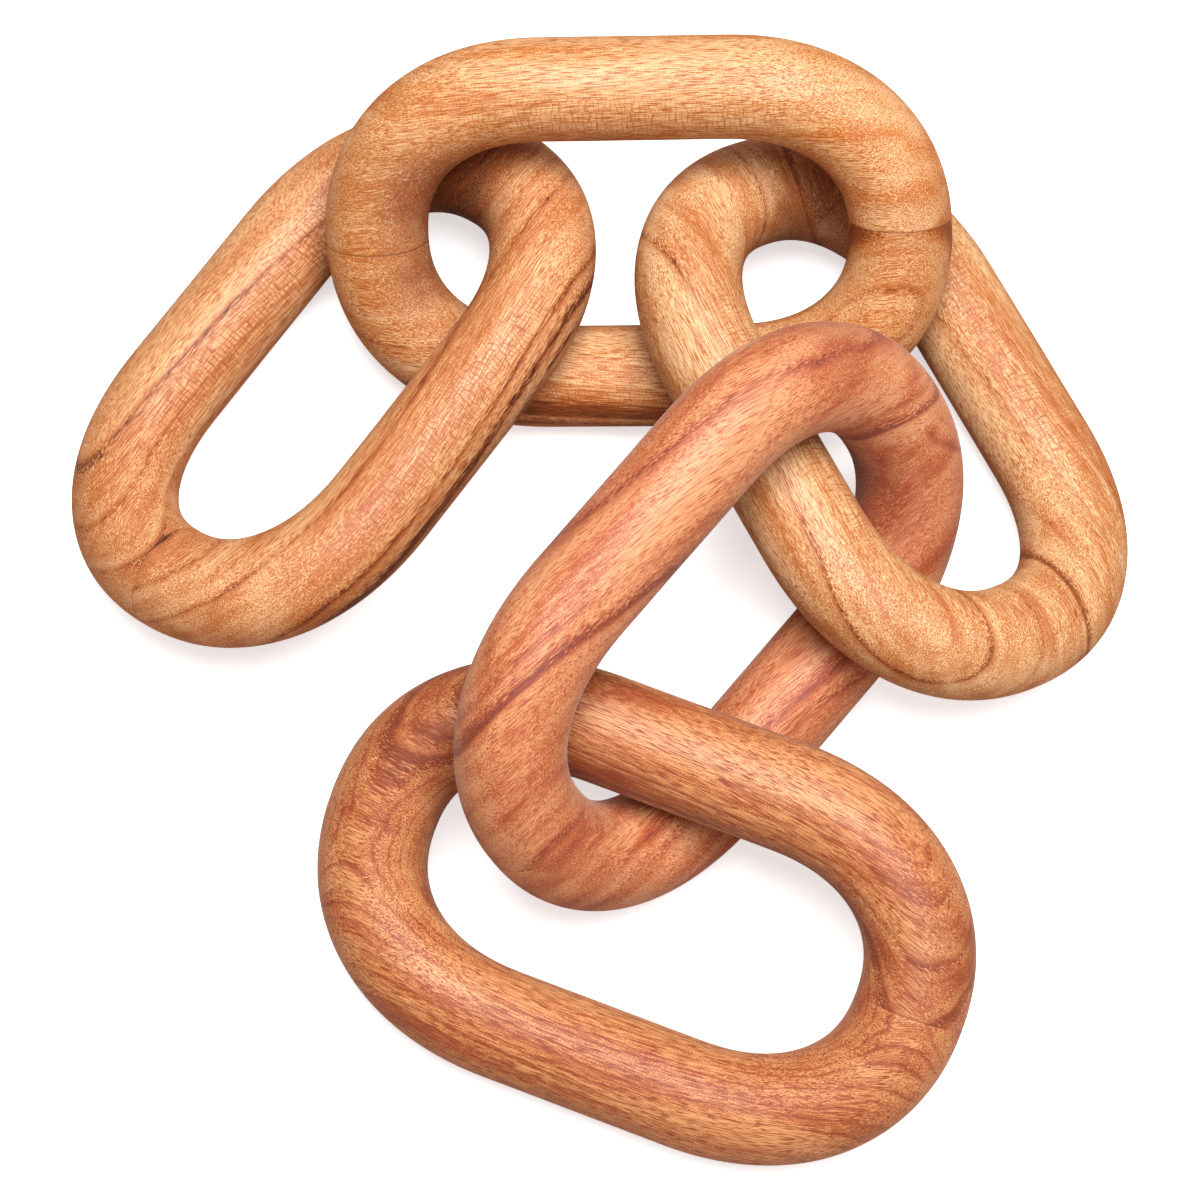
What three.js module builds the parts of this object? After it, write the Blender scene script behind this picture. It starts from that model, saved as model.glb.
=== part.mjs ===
import * as THREE from 'three';

// A wooden chain of five oval links, lying loose on a flat surface.
// Millimetres, +Z up. The origin is on that surface, under the middle of the chain.
// Every link is one closed loop of round bar, and hangs in its neighbours without touching them.

// Sizes that all the links share
const STRAIGHT_SIDE = 43.8; // straight length of each long side
const BOW_FULLNESS = 2.2; // 2 is an elliptical bow, and more is squarer
const BAR_FACES = 24; // flat faces round the bar
const BOW_STEPS = 19; // steps round each bow
const ROUGHNESS = 0.42;

// Length and width are over all. The heading is the long axis turned from +X towards +Y.
// The slope lifts the end that the heading points to, and the roll lifts the side left of it.
// A link with a height rests on its neighbours, and one without lies along its lower side.
const LINKS = [
  {
    name: 'link_1', colour: '#b87a35',
    length: 152.4, width: 95.3, bar: 25.7,
    x: -63.2, y: 58.9, heading: 53.9, slope: 0, roll: -21.4,
  },
  {
    name: 'link_2', colour: '#bd8a48',
    length: 149.5, width: 96.4, bar: 24.7,
    x: 9.3, y: 89.3, height: 37.6, heading: -1.2, slope: 4.7, roll: 40.2,
  },
  {
    name: 'link_3', colour: '#c08643',
    length: 152.5, width: 96.5, bar: 25.8,
    x: 67.1, y: 48.3, heading: 118.3, slope: 0, roll: 24.2,
  },
  {
    name: 'link_4', colour: '#a9603f',
    length: 154.2, width: 98.7, bar: 25.7,
    x: 26.9, y: -7.2, heading: 50.1, slope: 0, roll: 54.3,
  },
  {
    name: 'link_5', colour: '#93552f',
    length: 155.1, width: 98.3, bar: 25.8,
    x: 10.3, y: -72.8, height: 26.6, heading: -21.2, slope: 1.6, roll: 21.1,
  },
];

const radians = THREE.MathUtils.degToRad;

// The middle line of a link, in its own plane: one stop for each step round the two bows.
// The long sides are the straight runs between one bow's last stop and the next one's first.
// Each stop has the direction that points out of the loop there.
function middleLine(link) {
  const bowWidth = (link.width - link.bar) / 2;
  const bowDepth = (link.length - link.bar - STRAIGHT_SIDE) / 2;
  const stops = [];
  for (const end of [1, -1]) {
    for (let step = 0; step <= BOW_STEPS; step += 1) {
      const angle = Math.PI * (step / BOW_STEPS - 0.5);
      const along = Math.max(Math.cos(angle), 0);
      const across = Math.sin(angle);
      const side = Math.sign(across);
      stops.push({
        point: new THREE.Vector2(
          STRAIGHT_SIDE / 2 + bowDepth * along ** (2 / BOW_FULLNESS),
          bowWidth * side * Math.abs(across) ** (2 / BOW_FULLNESS),
        ).multiplyScalar(end),
        outward: new THREE.Vector2(
          along ** (2 - 2 / BOW_FULLNESS) / bowDepth,
          side * Math.abs(across) ** (2 - 2 / BOW_FULLNESS) / bowWidth,
        ).normalize().multiplyScalar(end),
      });
    }
  }
  return stops;
}

// A closed loop of faceted bar round the middle line.
// Its faces are turned so that one of them looks straight down below the lower long side.
function linkGeometry(link) {
  const radius = link.bar / 2;
  const downward = Math.abs(radians(link.roll)) - Math.PI / 2;
  const stops = middleLine(link);
  const positions = [];
  for (const { point, outward } of stops) {
    for (let face = 0; face < BAR_FACES; face += 1) {
      const angle = downward + (face + 0.5) * 2 * Math.PI / BAR_FACES;
      const reach = radius * Math.cos(angle);
      positions.push(
        point.x + outward.x * reach,
        point.y + outward.y * reach,
        radius * Math.sin(angle),
      );
    }
  }
  const triangles = [];
  for (let stop = 0; stop < stops.length; stop += 1) {
    const here = stop * BAR_FACES;
    const next = ((stop + 1) % stops.length) * BAR_FACES;
    for (let face = 0; face < BAR_FACES; face += 1) {
      const after = (face + 1) % BAR_FACES;
      triangles.push(here + face, next + face, next + after);
      triangles.push(here + face, next + after, here + after);
    }
  }
  const geometry = new THREE.BufferGeometry();
  geometry.setAttribute('position', new THREE.Float32BufferAttribute(positions, 3));
  geometry.setIndex(triangles);
  geometry.computeVertexNormals();
  return geometry;
}

// How high a link's middle is when the face below its lower long side lies on the surface
function lyingHeight(link) {
  const lowerSide = (link.width - link.bar) / 2 * Math.sin(Math.abs(radians(link.roll)));
  return lowerSide + link.bar / 2 * Math.cos(Math.PI / BAR_FACES);
}

function makeLink(link) {
  const wood = new THREE.MeshStandardMaterial({
    color: link.colour, roughness: ROUGHNESS, metalness: 0,
  });
  const mesh = new THREE.Mesh(linkGeometry(link), wood);
  mesh.name = link.name;
  mesh.position.set(link.x, link.y, link.height ?? lyingHeight(link));
  mesh.rotation.set(radians(link.roll), radians(-link.slope), radians(link.heading), 'ZYX');
  return mesh;
}

const chain = new THREE.Group();
for (const link of LINKS) {
  chain.add(makeLink(link));
}

export default chain;
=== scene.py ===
import math

import bpy
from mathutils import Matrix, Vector


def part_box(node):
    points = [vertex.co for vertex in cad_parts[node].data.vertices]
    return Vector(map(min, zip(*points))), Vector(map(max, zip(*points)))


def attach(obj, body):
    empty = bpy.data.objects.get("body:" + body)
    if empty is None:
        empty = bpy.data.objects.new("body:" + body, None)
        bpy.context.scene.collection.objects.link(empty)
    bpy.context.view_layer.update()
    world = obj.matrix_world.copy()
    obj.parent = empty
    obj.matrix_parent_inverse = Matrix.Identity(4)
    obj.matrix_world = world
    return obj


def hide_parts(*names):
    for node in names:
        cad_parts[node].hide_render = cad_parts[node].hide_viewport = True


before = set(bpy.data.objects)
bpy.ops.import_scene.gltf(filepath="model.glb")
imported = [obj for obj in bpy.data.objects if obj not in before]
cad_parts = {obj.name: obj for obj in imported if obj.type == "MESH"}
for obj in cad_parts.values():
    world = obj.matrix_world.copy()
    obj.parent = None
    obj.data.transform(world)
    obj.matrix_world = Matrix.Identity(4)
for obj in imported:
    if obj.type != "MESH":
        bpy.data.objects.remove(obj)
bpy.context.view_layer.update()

# The end link at the left, of honey-coloured hardwood with near-black streaks.
# A link is two bent halves, cut from the solid with their grain lengthwise, rounded with a rasp
# and sanded. They are glued end to end round the neighbour, at the tips of the bows, then oiled.

MM = 0.001
STRAIGHT_SIDE = 43.8 * MM  # straight length of each long side
BOW_FULLNESS = 2.2  # 2 is an elliptical bow, and more is squarer
OUTLINE_STEPS = 1600  # steps round the fine oval that the bar is laid along
STEPS_ALONG = 480  # steps of the bar itself round that oval
BAR_FACES = 96
JOINT_GATHER = 0.8  # how far the steps of the bar gather at the two glued joints
JOINT_WIDTH = 0.22 * MM
JOINT_DEPTH = 0.10 * MM
SANDING_DEPTH = 0.16 * MM
SANDING_REACH = 26 * MM  # between one low spot of the sanding and the next
CAD_BAR_FACES = 24  # the round bar keeps within the flats of the faceted one


class Reading:
    """What one node puts out. Numbers are worked out from each other with math nodes."""

    def __init__(self, tree, socket):
        self.tree = tree
        self.socket = socket

    def math(self, how, *others):
        inputs = dict(enumerate((self, *others)))
        node = place(self.tree, "ShaderNodeMath", inputs, operation=how)
        return Reading(self.tree, node.outputs[0])

    def __add__(self, other):
        return self.math("ADD", other)

    def __sub__(self, other):
        return self.math("SUBTRACT", other)

    def __mul__(self, other):
        return self.math("MULTIPLY", other)

    def __truediv__(self, other):
        return self.math("DIVIDE", other)

    def clamped(self):
        return self.math("MAXIMUM", 0.0).math("MINIMUM", 1.0)

    def mix(self, low, high):
        """low where this is 0, high where it is 1."""
        node = place(self.tree, "ShaderNodeMix", {0: self, 2: low, 3: high}, data_type="FLOAT")
        return Reading(self.tree, node.outputs[0])


def feed(tree, socket, value):
    """Give an input a plain value, or what another node puts out."""
    if isinstance(value, Reading):
        tree.links.new(value.socket, socket)
    elif isinstance(value, bpy.types.NodeSocket):
        tree.links.new(value, socket)
    else:
        socket.default_value = value


def place(tree, kind, inputs=None, **settings):
    """Put one node in a tree, set it, and feed its inputs."""
    node = tree.nodes.new(kind)
    for name, value in settings.items():
        setattr(node, name, value)
    for key, value in (inputs or {}).items():
        feed(tree, node.inputs[key], value)
    return node


def vector_math(tree, how, inputs):
    return place(tree, "ShaderNodeVectorMath", inputs, operation=how).outputs[0]


def split(tree, vector):
    parts = place(tree, "ShaderNodeSeparateXYZ", {0: vector})
    return [Reading(tree, parts.outputs[axis]) for axis in range(3)]


def join(tree, x, y, z):
    return place(tree, "ShaderNodeCombineXYZ", {0: x, 1: y, 2: z}).outputs[0]


def new_tree(name, kind, inputs, outputs):
    """A node group with named inputs and outputs, what its inputs give, and its exit node."""
    tree = bpy.data.node_groups.new(name, kind)
    for socket_name, socket_kind, value in inputs:
        socket = tree.interface.new_socket(socket_name, in_out="INPUT", socket_type=socket_kind)
        if value is not None:
            socket.default_value = value
    for socket_name, socket_kind in outputs:
        tree.interface.new_socket(socket_name, in_out="OUTPUT", socket_type=socket_kind)
    entry = tree.nodes.new("NodeGroupInput")
    given = {socket.name: Reading(tree, socket) for socket in entry.outputs if socket.name}
    return tree, given, tree.nodes.new("NodeGroupOutput")


def joint_place(x, given):
    """How far the glued joint at this end of the link is set off the tip of its bow."""
    return x.math("GREATER_THAN", 0.0).mix(given["Left Joint"], given["Right Joint"])


def oval_link_tree():
    """Sweeps a round bar along the oval, cuts the hairline joints, sands it and lays it down."""
    tree, given, leave = new_tree(
        "Oval Link", "GeometryNodeTree",
        [
            ("Straight Side", "NodeSocketFloat", STRAIGHT_SIDE),
            ("Bow Depth", "NodeSocketFloat", 40 * MM),
            ("Bow Width", "NodeSocketFloat", 35 * MM),
            ("Bow Fullness", "NodeSocketFloat", BOW_FULLNESS),
            ("Bar Radius", "NodeSocketFloat", 12.8 * MM),
            ("Outline Steps", "NodeSocketInt", OUTLINE_STEPS),
            ("Steps Along", "NodeSocketInt", STEPS_ALONG),
            ("Bar Faces", "NodeSocketInt", BAR_FACES),
            ("Joint Gather", "NodeSocketFloat", JOINT_GATHER),
            ("Right Joint", "NodeSocketFloat", 0.0),
            ("Left Joint", "NodeSocketFloat", 0.0),
            ("Joint Width", "NodeSocketFloat", JOINT_WIDTH),
            ("Joint Depth", "NodeSocketFloat", JOINT_DEPTH),
            ("Sanding Depth", "NodeSocketFloat", SANDING_DEPTH),
            ("Sanding Reach", "NodeSocketFloat", SANDING_REACH),
            ("Seed", "NodeSocketFloat", 0.0),
            ("Middle", "NodeSocketVector", None),
            ("Turn", "NodeSocketVector", None),
            ("Wood", "NodeSocketMaterial", None),
        ],
        [("Geometry", "NodeSocketGeometry")],
    )

    # The middle line: a unit circle pulled out into two full bows and two straight sides
    circle = place(tree, "GeometryNodeCurvePrimitiveCircle", {
        "Resolution": given["Outline Steps"], "Radius": 1.0,
    })
    position = place(tree, "GeometryNodeInputPosition").outputs[0]
    circle_x, circle_y, _ = split(tree, position)
    power = given["Bow Fullness"].math("POWER", -1.0) * 2.0
    half_side = given["Straight Side"] * 0.5
    along = circle_x.math("ABSOLUTE").math("POWER", power) * given["Bow Depth"] + half_side
    across = circle_y.math("ABSOLUTE").math("POWER", power) * given["Bow Width"]
    outline = place(tree, "GeometryNodeSetPosition", {
        "Geometry": circle.outputs["Curve"],
        "Position": join(tree, along * circle_x.math("SIGN"), across * circle_y.math("SIGN"), 0.0),
    })

    # Steps along the bar, gathered at the tips of the bows where the two joints are
    stops = place(tree, "GeometryNodeCurvePrimitiveCircle", {
        "Resolution": given["Steps Along"], "Radius": 1.0,
    })
    index = Reading(tree, place(tree, "GeometryNodeInputIndex").outputs[0])
    share = index / given["Steps Along"]
    two_turns = 4 * math.pi
    gather = (share * two_turns).math("SINE") * given["Joint Gather"] * (1 / two_turns)
    sampled = place(tree, "GeometryNodeSampleCurve", {
        "Curves": outline.outputs[0], "Factor": share - gather,
    }, mode="FACTOR")
    path = place(tree, "GeometryNodeSetPosition", {
        "Geometry": stops.outputs["Curve"], "Position": sampled.outputs["Position"],
    })
    bar = place(tree, "GeometryNodeCurvePrimitiveCircle", {
        "Resolution": given["Bar Faces"], "Radius": given["Bar Radius"],
    })
    swept = place(tree, "GeometryNodeCurveToMesh", {
        "Curve": path.outputs[0], "Profile Curve": bar.outputs["Curve"],
    })

    # Hand sanding leaves the bar a little uneven, and the glued joints a hairline groove
    own_spot = vector_math(tree, "ADD", {
        0: position, 1: join(tree, given["Seed"], given["Seed"], 0.0),
    })
    bumps_per_metre = given["Sanding Reach"].math("POWER", -1.0)
    noise = place(tree, "ShaderNodeTexNoise", {
        "Vector": own_spot, "Scale": bumps_per_metre, "Detail": 1.0,
    })
    unevenness = (Reading(tree, noise.outputs[0]) - 0.5) * given["Sanding Depth"]
    x, y, z = split(tree, position)
    off_joint = (y - joint_place(x, given)) / given["Joint Width"]
    groove = (off_joint * off_joint * -1.0).math("EXPONENT") * given["Joint Depth"]
    on_bow = x.math("ABSOLUTE").math("GREATER_THAN", half_side)
    normal = place(tree, "GeometryNodeInputNormal").outputs[0]
    moved = vector_math(tree, "SCALE", {0: normal, "Scale": unevenness - groove * on_bow})
    sanded = place(tree, "GeometryNodeSetPosition", {
        "Geometry": swept.outputs[0], "Offset": moved,
    })

    # Laid in its place. Nothing of it may dip below the surface that the chain lies on
    turned = place(tree, "GeometryNodeTransform", {
        "Geometry": sanded.outputs[0], "Translation": given["Middle"], "Rotation": given["Turn"],
    })
    laid = place(tree, "GeometryNodeSetPosition", {
        "Geometry": turned.outputs[0], "Position": join(tree, x, y, z.math("MAXIMUM", 0.0)),
    })
    smooth = place(tree, "GeometryNodeSetShadeSmooth", {"Geometry": laid.outputs[0]})
    whole = place(tree, "GeometryNodeRealizeInstances", {"Geometry": smooth.outputs[0]})
    finished = place(tree, "GeometryNodeSetMaterial", {
        "Geometry": whole.outputs[0], "Material": given["Wood"],
    })
    feed(tree, leave.inputs["Geometry"], finished.outputs[0])
    return tree


# The grain is worked out in millimetres of the link itself: x along it, y across it and z up
# from its own plane. Each kind of noise has its cells to the millimetre along x, y and z, and
# a shift that keeps it from repeating another.
FIBRES = {"scale": (0.055, 2.3, 2.3), "detail": 1.0, "roughness": 0.9, "shift": 7.0}
PORES = {"scale": (0.27, 4.4, 4.4), "shift": 3.0}
SPECKLE = {"scale": (2.6, 4.6, 4.6), "shift": 11.0}
TONE = {"scale": (0.013, 0.11, 0.11), "detail": 2.0, "roughness": 0.62, "shift": 17.0}
RING_WANDER = {"scale": (0.06, 0.18, 0.18)}
VESSEL_SHARPNESS = 11.0  # of the thin dark vessel lines, along the middle of the fibre noise
GRAIN_KINDS = ("Fibres", "Vessels", "Pores", "Speckle", "Tone")
PITH_BENDS = ("Pith", "Lean", "Bow", "Crook")
PITH_STEP = 50.0  # mm along the link for one unit of lean, bow and crook


def grain_noise(tree, point, scale, detail=0.0, roughness=0.5, shift=0.0):
    """Noise over a point of the wood, drawn out by a different scale along each axis."""
    drawn_out = vector_math(tree, "MULTIPLY_ADD", {
        0: point, 1: scale, 2: (shift, shift * 0.7, shift * 1.3),
    })
    texture = place(tree, "ShaderNodeTexNoise", {
        "Vector": drawn_out, "Scale": 1.0, "Detail": detail, "Roughness": roughness,
    })
    return Reading(tree, texture.outputs[0])


def growth_rings_group():
    """How far a point of the wood is from the pith of its own half board, which leans and bends."""
    half_bends = [f"{half} {bend}" for half in ("Near", "Far") for bend in PITH_BENDS]
    tree, given, leave = new_tree(
        "Growth Rings", "ShaderNodeTree",
        [
            ("Wood Point", "NodeSocketVector", None),
            ("Far Half", "NodeSocketFloat", 0.0),
            *[(half_bend, "NodeSocketVector", None) for half_bend in half_bends],
            ("Wander", "NodeSocketFloat", 0.5),
        ],
        [
            ("Ring", "NodeSocketFloat"),
            ("Board Point", "NodeSocketVector"),
            ("Ray Point", "NodeSocketVector"),
        ],
    )

    def own_half(bend):
        return place(tree, "ShaderNodeMix", {
            0: given["Far Half"], 4: given["Near " + bend], 5: given["Far " + bend],
        }, data_type="VECTOR").outputs[1]

    # The pith stands at pith + lean * step + bow * step² + crook * step³
    x, _, _ = split(tree, given["Wood Point"])
    step = x * (1 / PITH_STEP)
    centre = own_half("Pith")
    for bend, power in (("Lean", step), ("Bow", step * step), ("Crook", step * step * step)):
        shift = vector_math(tree, "SCALE", {0: own_half(bend), "Scale": power})
        centre = vector_math(tree, "ADD", {0: centre, 1: shift})
    board = vector_math(tree, "SUBTRACT", {0: given["Wood Point"], 1: centre})
    _, side, up = split(tree, board)
    reach = (side * side + up * up).math("SQRT")
    wander = (grain_noise(tree, given["Wood Point"], **RING_WANDER) - 0.5) * given["Wander"]
    feed(tree, leave.inputs["Ring"], reach + wander)
    feed(tree, leave.inputs["Board Point"], board)
    feed(tree, leave.inputs["Ray Point"], join(tree, x, reach, side.math("ARCTAN2", up) * reach))
    return tree


def dark_ring_group():
    """One dark growth ring: it darkens slowly on its inner side and ends sharply on its outer."""
    tree, given, leave = new_tree(
        "Dark Ring", "ShaderNodeTree",
        [
            ("Ring", "NodeSocketFloat", 0.0),
            ("At", "NodeSocketFloat", 10.0),
            ("Inner Fade", "NodeSocketFloat", 1.0),
            ("Outer Fade", "NodeSocketFloat", 1.0),
            ("Darkness", "NodeSocketFloat", 0.5),
        ],
        [("Stain", "NodeSocketFloat")],
    )
    beyond = given["Ring"] - given["At"]
    inner = (beyond / given["Inner Fade"] + 1.0).clamped()
    outer = (beyond / given["Outer Fade"] * -1.0 + 1.0).clamped()
    feed(tree, leave.inputs["Stain"], inner * inner * outer * given["Darkness"])
    return tree


def fine_grain_group():
    """Fibres and open pores, drawn out along the board, its speckle and its broad tone."""
    tree, given, leave = new_tree(
        "Fine Grain", "ShaderNodeTree",
        [("Board Point", "NodeSocketVector", None), ("Wood Point", "NodeSocketVector", None)],
        [(kind, "NodeSocketFloat") for kind in GRAIN_KINDS],
    )
    fibres = grain_noise(tree, given["Board Point"], **FIBRES)
    vessels = ((fibres - 0.5).math("ABSOLUTE") * -VESSEL_SHARPNESS + 1.0).clamped()
    pores = grain_noise(tree, given["Board Point"], **PORES)
    speckle = grain_noise(tree, given["Wood Point"], **SPECKLE)
    tone = grain_noise(tree, given["Wood Point"], **TONE)
    for kind, value in zip(GRAIN_KINDS, (fibres, vessels, pores, speckle, tone)):
        feed(tree, leave.inputs[kind], value)
    return tree


RUNS_PER_YEAR = 0.30  # how quickly runs of wide and narrow years follow each other
YEAR_SWING = 1.6  # how far they move the ring lines, in years
LINE_START = 0.76  # the share of a year that has passed where its line begins
LINE_RISE = 4.17  # how fast the line darkens from there to the end of the year


def ring_lines_group():
    """Narrow ring lines, jagged along the fibres, where the pores of each year stand in rows."""
    tree, given, leave = new_tree(
        "Ring Lines", "ShaderNodeTree",
        [
            ("Ring", "NodeSocketFloat", 0.0),
            ("Spacing", "NodeSocketFloat", 1.8),
            ("Teeth", "NodeSocketFloat", 0.5),
            ("Jag", "NodeSocketFloat", 1.0),
        ],
        [("Line", "NodeSocketFloat"), ("Band", "NodeSocketFloat")],
    )
    turns = (given["Ring"] + (given["Teeth"] - 0.5) * given["Jag"]) / given["Spacing"]
    uneven = Reading(tree, place(tree, "ShaderNodeTexNoise", {
        "W": turns, "Scale": RUNS_PER_YEAR, "Detail": 2.0, "Roughness": 0.6,
    }, noise_dimensions="1D").outputs[0])
    year = (turns + uneven * YEAR_SWING).math("FRACT")
    feed(tree, leave.inputs["Line"], ((year - LINE_START) * LINE_RISE).clamped())
    feed(tree, leave.inputs["Band"], uneven)
    return tree


RAY_BUNDLE = 2.7  # mm across the grain between one ladder of ray flecks and the next
BUNDLE_SWAY = 0.25  # how far a ladder sways across the grain, in bundles
SWAY_ALONG = 0.11  # radians of that sway to the millimetre
RUNGS_PER_MM = 0.75
RUNG_THINNESS = 3.6
RUNG_SLANT = 2.2  # how far the noise shifts the rungs, in rungs
RUNG_CONTRAST = 4.0  # between rungs that show and rungs that are worn away
RUNG_GAPS = 0.9
BUNDLE_STAGGER = 0.37  # how far the rungs of the next ladder are shifted, in rungs
BUNDLE_LEAP = 7.3  # how far apart the ladders stand in the noise, so that each has its own
STACK_ALONG = 0.35  # cells of that noise to the millimetre, along the link
STACK_ROUND = 0.12  # and round the pith
EDGE_THINNESS = 9.0
EDGE_DARKNESS = 0.6


def ray_flecks_group():
    """Ladders of short lines across the grain, where the rays run along the surface."""
    tree, given, leave = new_tree(
        "Ray Flecks", "ShaderNodeTree",
        [
            ("Wood Point", "NodeSocketVector", None),
            ("Board Point", "NodeSocketVector", None),
            ("Ray Point", "NodeSocketVector", None),
            ("Bar Middle", "NodeSocketFloat", 35.0),
            ("Bar Radius", "NodeSocketFloat", 12.8),
        ],
        [("Flecks", "NodeSocketFloat")],
    )
    x, y, z = split(tree, given["Wood Point"])
    _, side, up = split(tree, given["Board Point"])
    _, reach, round_pith = split(tree, given["Ray Point"])

    # The flecks fade as the surface turns to face the pith, and from 27 to 49 mm off the middle
    # of the link, where the straight sides have ended
    off = (y.math("ABSOLUTE") - given["Bar Middle"]) * y.math("SIGN")
    facing_pith = (off * side + z * up).math("ABSOLUTE") / (reach * given["Bar Radius"])
    along_rays = (facing_pith * -1.9 + 1.25).clamped()
    on_side = (x.math("ABSOLUTE") * -0.045 + 2.2).clamped()

    # Each ladder has a fine edge and a stack of rungs, with gaps where the noise is low
    bundle = reach * (1 / RAY_BUNDLE) + (x * SWAY_ALONG).math("SINE") * BUNDLE_SWAY
    ladder = bundle.math("FLOOR")
    edge = (bundle.math("FRACT") * -EDGE_THINNESS + 1.0).clamped()
    stack = join(tree, x * STACK_ALONG, ladder * BUNDLE_LEAP, round_pith * STACK_ROUND)
    noise = grain_noise(tree, stack, (1.0, 1.0, 1.0))
    rung = (x * RUNGS_PER_MM + ladder * BUNDLE_STAGGER + noise * RUNG_SLANT).math("FRACT")
    kept = (noise * RUNG_CONTRAST - RUNG_GAPS).clamped()
    rungs = (rung * -RUNG_THINNESS + 1.0).clamped() * kept
    net = rungs.math("MAXIMUM", edge * EDGE_DARKNESS)
    feed(tree, leave.inputs["Flecks"], net * along_rays * on_side)
    return tree


def glued_joint_group():
    """Which half of the link a point is in, and the thin dark line of glue at the joints."""
    tree, given, leave = new_tree(
        "Glued Joint", "ShaderNodeTree",
        [
            ("Wood Point", "NodeSocketVector", None),
            ("Right Joint", "NodeSocketFloat", 0.0),
            ("Left Joint", "NodeSocketFloat", 0.0),
            ("Line Width", "NodeSocketFloat", 0.3),
        ],
        [("Far Half", "NodeSocketFloat"), ("Glue Line", "NodeSocketFloat")],
    )
    x, y, _ = split(tree, given["Wood Point"])
    off = y - joint_place(x, given)
    line = (off.math("ABSOLUTE") / given["Line Width"] * -1.0 + 1.0).clamped()
    feed(tree, leave.inputs["Far Half"], off.math("GREATER_THAN", 0.0))
    feed(tree, leave.inputs["Glue Line"], line)
    return tree


OVAL_LINK = oval_link_tree()
GROWTH_RINGS = growth_rings_group()
DARK_RING = dark_ring_group()
FINE_GRAIN = fine_grain_group()
RING_LINES = ring_lines_group()
RAY_FLECKS = ray_flecks_group()
GLUED_JOINT = glued_joint_group()

DARK_RING_FRAY = 2.4  # how far the fibres and pores fray a dark ring, against the ring lines
PORE_LEVEL = 0.57  # how high the pore noise has to be before a pore opens
PORE_SHARPNESS = 9.0
PORES_ON_LINE = 0.08  # how much sooner pores open on a ring line
MIDDLE_SHADE = 0.40  # between 0, the light colour, and 1, the deep one
OILED_ROUGHNESS = 0.50
SPECKLE_ROUGHNESS = 0.30  # how far the speckle varies it
PORE_ROUGHNESS = 0.10  # how much duller an open pore is
FELT_GRAIN = 0.10 * MM  # depth of the grain that can be felt through the oil


def use(tree, group, **inputs):
    """One effect in a material. The names of its inputs are written with underscores."""
    named = {name.replace("_", " "): value for name, value in inputs.items()}
    effect = place(tree, "ShaderNodeGroup", named, node_tree=group)
    return {socket.name: Reading(tree, socket) for socket in effect.outputs}


def colour_mix(tree, amount, first, second):
    mixed = place(tree, "ShaderNodeMix", {0: amount, 6: first, 7: second}, data_type="RGBA")
    return mixed.outputs[2]


def dark_rings_of(tree, half, ragged):
    """The darkest of the dark rings of one half board, at each point of it."""
    stain = None
    for at, inner, outer, darkness in half["dark_rings"]:
        dark = use(
            tree, DARK_RING,
            Ring=ragged, At=at, Inner_Fade=inner, Outer_Fade=outer, Darkness=darkness,
        )["Stain"]
        stain = dark if stain is None else stain.math("MAXIMUM", dark)
    return stain


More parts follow.
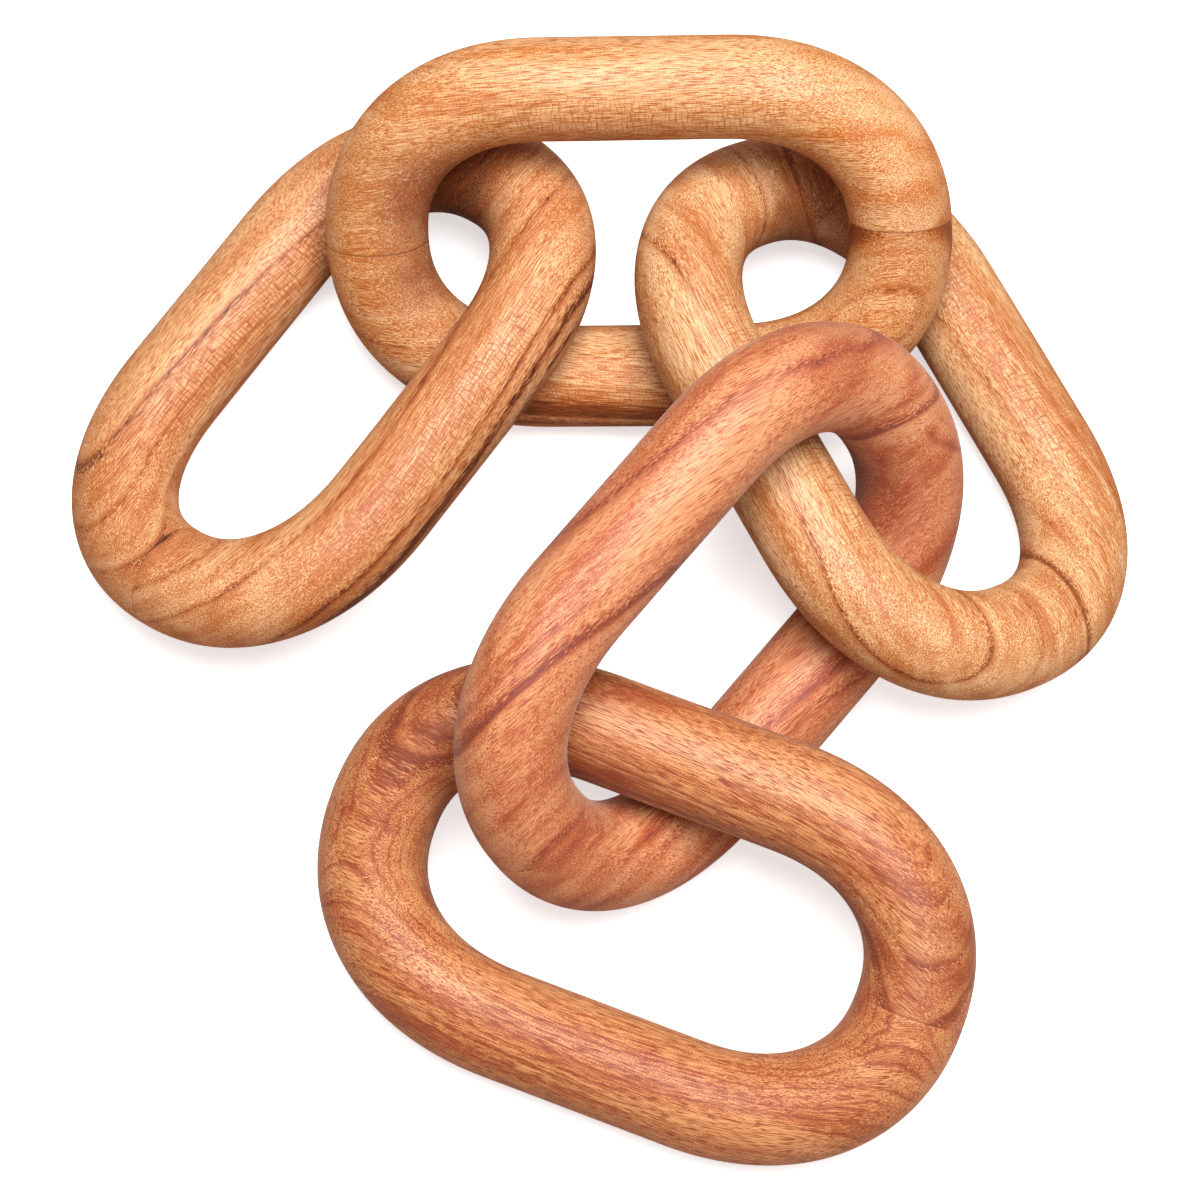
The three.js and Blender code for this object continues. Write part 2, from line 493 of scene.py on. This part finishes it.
def oiled_wood(
    name, middle, turn, bar_middle, halves, joints, colours, ring_spacing, ring_jag, line_depth,
    band_depth, fibre_depth, tone_depth, vessel_depth, pore_depth, fleck_depth, glue_depth,
    wander, sheen, blushes,
):
    """The oiled wood of one link: two half boards with their own rings, met at the glued joints."""
    material = bpy.data.materials.new(name)
    material.use_nodes = True
    tree = material.node_tree
    tree.nodes.clear()
    wood_point = place(tree, "ShaderNodeMapping", {
        "Vector": place(tree, "ShaderNodeTexCoord").outputs["Object"],
        "Location": tuple(middle), "Rotation": turn, "Scale": (MM, MM, MM),
    }, vector_type="TEXTURE").outputs[0]
    joint = use(
        tree, GLUED_JOINT,
        Wood_Point=wood_point, Right_Joint=joints[0], Left_Joint=joints[1],
        Line_Width=JOINT_WIDTH / MM,
    )

    # The rings, the fine grain and the ring lines
    bends = {}
    for side, half in zip(("Near", "Far"), halves):
        for bend, across_and_up in zip(PITH_BENDS, half["pith"]):
            bends[f"{side}_{bend}"] = (0.0, *across_and_up)
    grown = use(
        tree, GROWTH_RINGS,
        Wood_Point=wood_point, Far_Half=joint["Far Half"], Wander=wander, **bends,
    )
    grain = use(tree, FINE_GRAIN, Board_Point=grown["Board Point"], Wood_Point=wood_point)
    fibres, vessels, pores, speckle, tone = (grain[kind] for kind in GRAIN_KINDS)
    ragged = grown["Ring"] + (fibres + pores - 1.0) * (ring_jag * DARK_RING_FRAY)
    stain = joint["Far Half"].mix(*(dark_rings_of(tree, half, ragged) for half in halves))
    rings = use(
        tree, RING_LINES, Ring=grown["Ring"], Spacing=ring_spacing, Teeth=pores, Jag=ring_jag,
    )
    line, band = rings["Line"], rings["Band"]

    # The ground colour, from light through middle to deep. The noises swing about a half
    shade = (fibres + pores + speckle * 2.0 - 2.0) * fibre_depth + (tone - 0.5) * tone_depth
    shade = shade + (band - 0.5) * band_depth + MIDDLE_SHADE
    ramp = place(tree, "ShaderNodeValToRGB", {0: shade})
    ramp.color_ramp.elements[0].color = colours["light"]
    ramp.color_ramp.elements[1].color = colours["deep"]
    ramp.color_ramp.elements.new(0.5).color = colours["middle"]
    colour = ramp.outputs[0]

    # Darker wood and painted shade are broken up by the fibres and pores, and fade in and out with
    # the tone
    patch_and_shade_grain, patch_and_shade_tone = fibres * 1.5 + speckle - 0.4, tone * 1.6 + 0.2
    line_grain, line_patches = fibres * 0.8 + 0.4, tone * 5.0 - 1.7
    stain_grain = fibres * 1.8 + pores - 0.5
    stain_patches = (tone * 2.0 - 0.15).math("MAXIMUM", 0.0)
    vessel_grain = pores * 2.2 - 0.5

    # It is laid on in this order: dark patches and painted shade, flecks, ring lines, dark rings
    # and the hearts of the darkest of them, vessels, open pores and glue
    # Each blush darkens the wood round a place towards the blush colour: partly the wood's own dark
    # patches, and partly painted shade where a neighbouring link shades this one
    for patch_and_shade_place, patch_and_shade_reach, amount in blushes:
        away = place(tree, "ShaderNodeVectorMath", {
            0: wood_point, 1: patch_and_shade_place,
        }, operation="DISTANCE")
        spot = (Reading(tree, away.outputs["Value"]) / patch_and_shade_reach * -1.0 + 1.0).clamped()
        spot = (spot * spot * patch_and_shade_tone * amount).clamped() * patch_and_shade_grain
        colour = colour_mix(tree, spot, colour, colours["blush"])
    if fleck_depth:
        flecks = use(
            tree, RAY_FLECKS,
            Wood_Point=wood_point, Board_Point=grown["Board Point"], Ray_Point=grown["Ray Point"],
            Bar_Middle=bar_middle,
        )["Flecks"]
        colour = colour_mix(tree, flecks * fleck_depth, colour, colours["pore"])
    stain = stain * stain_grain * stain_patches
    open_pores = ((pores - PORE_LEVEL + line * PORES_ON_LINE) * PORE_SHARPNESS).clamped()
    for amount, darker in (
        ((line * line_grain * line_patches * line_depth).clamped(), "pore"),
        ((stain * 1.1).clamped(), "pore"),
        ((stain * 2.0 - 1.0).clamped(), "streak"),
        ((vessels * vessel_grain * vessel_depth).clamped(), "pore"),
        (open_pores * pore_depth, "pore"),
        (joint["Glue Line"] * glue_depth, "streak"),
    ):
        colour = colour_mix(tree, amount, colour, colours[darker])

    # Satin oil, a little duller in the open pores, over wood whose grain can still be felt
    dulled = open_pores * PORE_ROUGHNESS + (speckle - 0.5) * SPECKLE_ROUGHNESS
    bump = place(tree, "ShaderNodeBump", {
        "Strength": 0.6, "Distance": FELT_GRAIN, "Height": speckle,
    })
    surface = place(tree, "ShaderNodeBsdfPrincipled", {
        "Base Color": colour, "Roughness": dulled + OILED_ROUGHNESS, "Normal": bump.outputs[0],
        "IOR": 1.44, "Sheen Weight": sheen, "Sheen Roughness": 0.4,
    })
    place(tree, "ShaderNodeOutputMaterial", {"Surface": surface.outputs[0]})
    return material


def bend_link(name, wood, length, width, bar, turn, middle, joints, seed):
    """One link as a plain mesh in its place in the chain."""
    within_flats = (1 + math.cos(math.pi / CAD_BAR_FACES)) / 2
    blank = bpy.data.objects.new(name + "_wood", bpy.data.meshes.new(name + "_blank"))
    bpy.context.scene.collection.objects.link(blank)
    maker = blank.modifiers.new("Oval Link", "NODES")
    maker.node_group = OVAL_LINK
    values = {
        "Bow Depth": ((length - bar) * MM - STRAIGHT_SIDE) / 2,
        "Bow Width": (width - bar) * MM / 2,
        "Bar Radius": bar / 2 * MM * within_flats - SANDING_DEPTH / 2,
        "Right Joint": joints[0] * MM,
        "Left Joint": joints[1] * MM,
        "Seed": seed,
        "Middle": middle,
        "Turn": Vector(turn),
        "Wood": wood,
    }
    for item in OVAL_LINK.interface.items_tree:
        if item.in_out == "INPUT" and item.name in values:
            maker[item.identifier] = values[item.name]
    bpy.context.view_layer.update()
    bent = blank.evaluated_get(bpy.context.evaluated_depsgraph_get())
    mesh = bpy.data.meshes.new_from_object(bent)
    mesh.name = name + "_wood"
    blank.modifiers.remove(maker)
    blank.data = mesh
    return blank


def make_link(name, slot, length, width, bar, heading, slope, roll, joints, seed, **wood_values):
    """Sizes are in mm over all. The heading is turned from +X towards +Y, the slope lifts the
    end that it points to, and the roll lifts the side left of it. Joints are set off the tips."""
    lowest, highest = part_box(name)
    middle = (lowest + highest) / 2
    turn = (math.radians(roll), math.radians(-slope), math.radians(heading))
    wood = oiled_wood(slot, middle, turn, (width - bar) / 2, joints=joints, **wood_values)
    link = bend_link(name, wood, length, width, bar, turn, middle, joints, seed)
    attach(link, "root")
    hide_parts(name)


# Of the two halves the near one comes first, where y is below the joints. The pith is where the
# heart of the tree stood, across and up, and then how it leans, bows and crooks from there.
# A dark ring is its distance from the pith, how far it fades inwards and outwards, and its
# darkness. A blush is a darkened area: its place, its reach and its amount. It stands partly for
# the wood's own dark patches and partly for painted shade, where a neighbouring link shades this
# one.
make_link(
    "link_1", "honey_wood_streaked", length=152.4, width=95.3, bar=25.7,
    heading=53.9, slope=0, roll=-21.4, joints=(0.0, 0.0), seed=1.0,
    halves=(
        {
            "pith": ((47.1, 69.1), (5.0, -0.2), (2.9, 1.1), (-2.3, -2.0)),
            "dark_rings": [
                (117.4, 2.2, 1.0, 2.6), (113.6, 1.4, 0.8, 1.4), (120.6, 1.2, 0.9, 1.5),
                (97.0, 1.4, 0.9, 0.9), (87.0, 2.0, 1.0, 0.8), (79.4, 3.4, 2.0, 1.1),
            ],
        },
        {
            "pith": ((-107.1, -206.9), (-0.8, -4.7), (-1.8, -3.6), (2.3, -3.8)),
            "dark_rings": [
                (256.3, 2.0, 0.9, 1.4), (256.6, 14.0, 0.9, 0.45), (248.4, 2.0, 1.0, 0.8),
                (240.2, 1.6, 1.0, 0.9),
            ],
        },
    ),
    colours={
        "light": (0.70, 0.40, 0.195, 1), "middle": (0.56, 0.245, 0.088, 1),
        "deep": (0.41, 0.130, 0.038, 1), "streak": (0.040, 0.012, 0.005, 1),
        "pore": (0.33, 0.075, 0.017, 1), "blush": (0.065, 0.018, 0.007, 1),
    },
    ring_spacing=1.6, ring_jag=0.7, line_depth=0.35, band_depth=1.5,
    fibre_depth=1.0, tone_depth=2.3, vessel_depth=1.0, pore_depth=0.6, fleck_depth=1.6,
    glue_depth=0.25, wander=0.8, sheen=0.0,
    # The blush is painted shade on the inner side of the top bow, where it hangs in the link across
    # the top and that link shades it
    blushes=[((51.0, 1.0, 5.5), 27.0, 2.4)],
)

# The link across the top, of yellow-brown wood with a dark band along its lower side.
# It hangs in the two end loops beside it, and its glued joints show as dark hairlines.
make_link(
    "link_2", "yellow_wood", length=149.5, width=96.4, bar=24.7,
    heading=-1.2, slope=4.7, roll=40.2, joints=(3.5, -0.9), seed=2.0,
    halves=(
        {
            "pith": ((-18.0, 19.4), (-4.0, 0.3), (2.2, -1.5), (1.0, 1.9)),
            "dark_rings": [(26.4, 9.0, 1.4, 2.3), (31.0, 4.5, 2.4, 1.6), (11.9, 1.6, 1.0, 0.7)],
        },
        {
            "pith": ((18.6, 5.5), (1.9, -0.2), (-1.2, 1.9), (0.6, 3.0)),
            "dark_rings": [(21.5, 3.5, 2.0, 0.25), (5.9, 1.0, 0.8, 0.25)],
        },
    ),
    colours={
        "light": (0.71, 0.435, 0.225, 1), "middle": (0.60, 0.280, 0.092, 1),
        "deep": (0.46, 0.125, 0.021, 1), "streak": (0.120, 0.028, 0.006, 1),
        "pore": (0.34, 0.078, 0.012, 1), "blush": (0.19, 0.060, 0.028, 1),
    },
    ring_spacing=1.5, ring_jag=0.7, line_depth=0.3, band_depth=1.5,
    fibre_depth=1.0, tone_depth=2.3, vessel_depth=1.0, pore_depth=0.6, fleck_depth=1.0,
    glue_depth=0.85, wander=0.8, sheen=0.0,
    # The blushes are partly the wood's own purple-brown patches and partly painted shade inside the
    # bows, where the end links hang in them
    blushes=[
        ((-49.5, 12.5, 6.0), 25.0, 1.9), ((-52.0, -8.0, 6.0), 22.0, 1.3),
        ((72.0, 2.0, 4.0), 28.0, 0.5),
    ],
)

# The link at the right, of honey-coloured wood with brown ring streaks across its bows.
# It lies on one long side, hooked through the link across the top, with the middle link in it.
make_link(
    "link_3", "honey_wood_ringed", length=152.5, width=96.5, bar=25.8,
    heading=118.3, slope=0, roll=24.2, joints=(0.0, 0.0), seed=3.0,
    halves=(
        {
            "pith": ((-59.0, 21.7), (6.0, 2.4), (-0.2, 3.2), (-0.9, 2.7)),
            "dark_rings": [
                (56.2, 3.0, 1.6, 0.8), (53.5, 2.2, 1.2, 2.0), (45.8, 2.0, 1.0, 0.6),
                (36.8, 3.2, 1.2, 0.9), (26.6, 2.4, 1.6, 0.6),
            ],
        },
        {
            "pith": ((25.9, 9.9), (-4.3, 0.3), (-0.1, 1.7), (0.6, -2.1)),
            "dark_rings": [
                (15.6, 2.4, 1.1, 1.2), (12.6, 2.6, 1.2, 0.5), (7.4, 1.6, 1.2, 0.5),
                (28.9, 1.8, 1.1, 0.8),
            ],
        },
    ),
    colours={
        "light": (0.72, 0.465, 0.240, 1), "middle": (0.58, 0.295, 0.118, 1),
        "deep": (0.43, 0.158, 0.050, 1), "streak": (0.105, 0.030, 0.009, 1),
        "pore": (0.36, 0.090, 0.020, 1), "blush": (0.10, 0.030, 0.010, 1),
    },
    ring_spacing=1.5, ring_jag=0.7, line_depth=0.35, band_depth=1.1,
    fibre_depth=1.0, tone_depth=3.4, vessel_depth=1.0, pore_depth=0.6, fleck_depth=1.3,
    glue_depth=0.2, wander=0.8, sheen=0.0,
    # The blush is painted shade on the inner side of the top bow, where the neighbouring links
    # shade it
    blushes=[((54.0, -8.0, 5.0), 22.0, 1.7)],
)

# The steeply leaning link in the middle, of pinkish, close-grained wood with red streaks.
# It stands on one long side, glued shut through the link at the right and sanded smooth.
make_link(
    "link_4", "pink_wood", length=154.2, width=98.7, bar=25.7,
    heading=50.1, slope=0, roll=54.3, joints=(0.0, 0.0), seed=4.0,
    halves=(
        {
            "pith": ((-2.7, -38.8), (-6.4, 5.7), (9.0, 11.1), (-1.1, -0.7)),
            "dark_rings": [
                (54.8, 1.8, 1.0, 1.0), (58.6, 2.0, 1.2, 0.9), (46.0, 6.0, 4.0, 0.6),
                (27.4, 2.6, 1.4, 0.9),
            ],
        },
        {
            "pith": ((57.0, -10.3), (-9.7, 6.2), (-5.4, -2.0), (1.7, 2.4)),
            "dark_rings": [
                (35.5, 3.4, 1.6, 1.8), (31.0, 2.0, 1.4, 0.8), (66.2, 2.4, 1.4, 1.0),
                (13.5, 4.0, 3.5, 1.2), (54.6, 1.4, 0.8, 0.7),
            ],
        },
    ),
    colours={
        "light": (0.645, 0.305, 0.145, 1), "middle": (0.560, 0.208, 0.084, 1),
        "deep": (0.375, 0.086, 0.029, 1), "streak": (0.17, 0.036, 0.022, 1),
        "pore": (0.31, 0.058, 0.022, 1), "blush": (0.23, 0.046, 0.018, 1),
    },
    ring_spacing=2.1, ring_jag=1.0, line_depth=0.45, band_depth=1.3,
    fibre_depth=0.85, tone_depth=3.0, vessel_depth=0.8, pore_depth=0.6, fleck_depth=0.0,
    glue_depth=0.3, wander=1.4, sheen=0.14,
    # The first blush is the wood's own purple-red on the outer side of the top bow. The second is
    # painted shade over dark wood on the inner side of that bow
    blushes=[((61.3, 33.0, 7.5), 24.0, 0.8), ((49.0, -12.5, 1.5), 24.0, 1.9)],
)

# The end link at the bottom, of red-brown wood whose rings arch over the bar.
# It lies against the middle link that it hangs in, and its open pores are left unfilled.
make_link(
    "link_5", "red_brown_wood", length=155.1, width=98.3, bar=25.8,
    heading=-21.2, slope=1.6, roll=21.1, joints=(0.0, 0.0), seed=5.0,
    halves=(
        {
            "pith": ((-8.9, -1.7), (-0.7, 0.1), (4.1, -2.7), (1.5, 0.4)),
            "dark_rings": [(11.6, 4.0, 2.0, 0.5), (30.3, 1.5, 0.8, 0.35), (37.5, 1.5, 0.8, 0.35)],
        },
        {
            "pith": ((-7.5, -42.1), (-4.2, -1.7), (-2.2, -0.7), (-1.6, 1.0)),
            "dark_rings": [
                (61.5, 5.5, 2.0, 0.75), (58.4, 3.0, 1.6, 1.6), (64.9, 1.6, 0.7, 1.1),
                (71.5, 1.4, 0.7, 0.9),
            ],
        },
    ),
    colours={
        "light": (0.62, 0.292, 0.120, 1), "middle": (0.50, 0.180, 0.061, 1),
        "deep": (0.34, 0.079, 0.023, 1), "streak": (0.15, 0.034, 0.014, 1),
        "pore": (0.245, 0.044, 0.013, 1), "blush": (0.20, 0.045, 0.016, 1),
    },
    ring_spacing=1.9, ring_jag=1.2, line_depth=1.4, band_depth=1.2,
    fibre_depth=0.85, tone_depth=2.5, vessel_depth=0.9, pore_depth=0.9, fleck_depth=0.0,
    glue_depth=0.25, wander=1.6, sheen=0.12,
    # The first blush is the wood's own purple-red on the outer side of the right bow. The second is
    # partly dark wood and partly painted shade, where the middle link crosses the top bar
    blushes=[((68.0, 20.0, 6.0), 24.0, 0.7), ((-17.0, 25.0, 7.0), 20.0, 1.5)],
)

# The pale floor that the chain lies on, the soft lamps round it and the camera above it.
# None of these is part of the chain.
FLOOR_SIZE = 6.0
FLOOR_DROP = 0.2 * MM
PAPER_WHITE = (0.90, 0.90, 0.90, 1)
PAPER_BOUNCE = (0.44, 0.27, 0.18, 1)  # the warm light that the floor throws back on the wood
PAPER_GLOW = 0.62  # lifts the floor to white for the camera alone
half = FLOOR_SIZE / 2
corners = [(-half, -half, 0), (half, -half, 0), (half, half, 0), (-half, half, 0)]
floor_mesh = bpy.data.meshes.new("floor")
floor_mesh.from_pydata(corners, [], [(0, 1, 2, 3)])
floor = bpy.data.objects.new("floor", floor_mesh)
floor.location.z = -FLOOR_DROP
bpy.context.scene.collection.objects.link(floor)
paper = bpy.data.materials.new("white_paper")
paper.use_nodes = True
paper_tree = paper.node_tree
seen = place(paper_tree, "ShaderNodeLightPath").outputs["Is Camera Ray"]
paper_look = {
    "Base Color": colour_mix(paper_tree, seen, PAPER_BOUNCE, PAPER_WHITE),
    "Emission Color": (1.0, 1.0, 1.0, 1),
    "Emission Strength": Reading(paper_tree, seen) * PAPER_GLOW,
    "Roughness": 0.9,
    "Specular IOR Level": 0.1,
}
for look, value in paper_look.items():
    feed(paper_tree, paper_tree.nodes["Principled BSDF"].inputs[look], value)
floor.data.materials.append(paper)


def soft_lamp(name, azimuth, elevation, distance, size, power):
    """A round softbox that looks at the middle of the chain. Angles are in degrees."""
    lamp = bpy.data.lights.new(name, "AREA")
    lamp.shape = "DISK"
    lamp.size = size
    lamp.energy = power
    lamp_object = bpy.data.objects.new(name, lamp)
    bpy.context.scene.collection.objects.link(lamp_object)
    level = math.cos(math.radians(elevation))
    way = Vector((
        level * math.cos(math.radians(azimuth)),
        level * math.sin(math.radians(azimuth)),
        math.sin(math.radians(elevation)),
    ))
    lamp_object.location = way * distance
    lamp_object.rotation_euler = way.to_track_quat("Z", "Y").to_euler()


soft_lamp("overhead_softbox", azimuth=40, elevation=83, distance=1.6, size=1.1, power=46)
soft_lamp("front_softbox", azimuth=305, elevation=32, distance=1.7, size=0.9, power=4.0)

world = bpy.data.worlds.new("pale_room")
world.use_nodes = True
world.node_tree.nodes["Background"].inputs["Color"].default_value = (1.0, 0.87, 0.78, 1)
world.node_tree.nodes["Background"].inputs["Strength"].default_value = 0.20
bpy.context.scene.world = world

CAMERA_RISE = math.radians(73)
CAMERA_DISTANCE = 1.0
CAMERA_AIM = Vector((0.0003, 0.0098, 0.0))
PICTURE_WIDTH = 1200 / 4150  # metres across the picture, at the camera's distance
camera_data = bpy.data.cameras.new("camera")
camera_data.angle = 2 * math.atan(PICTURE_WIDTH / 2 / CAMERA_DISTANCE)
camera_data.clip_start = 0.01
camera = bpy.data.objects.new("camera", camera_data)
bpy.context.scene.collection.objects.link(camera)
camera_way = Vector((0.0, -math.cos(CAMERA_RISE), math.sin(CAMERA_RISE)))
camera.location = CAMERA_AIM + CAMERA_DISTANCE * camera_way
camera.rotation_euler = (math.pi / 2 - CAMERA_RISE, 0.0, 0.0)
bpy.context.scene.camera = camera
bpy.context.scene.view_settings.view_transform = "Standard"
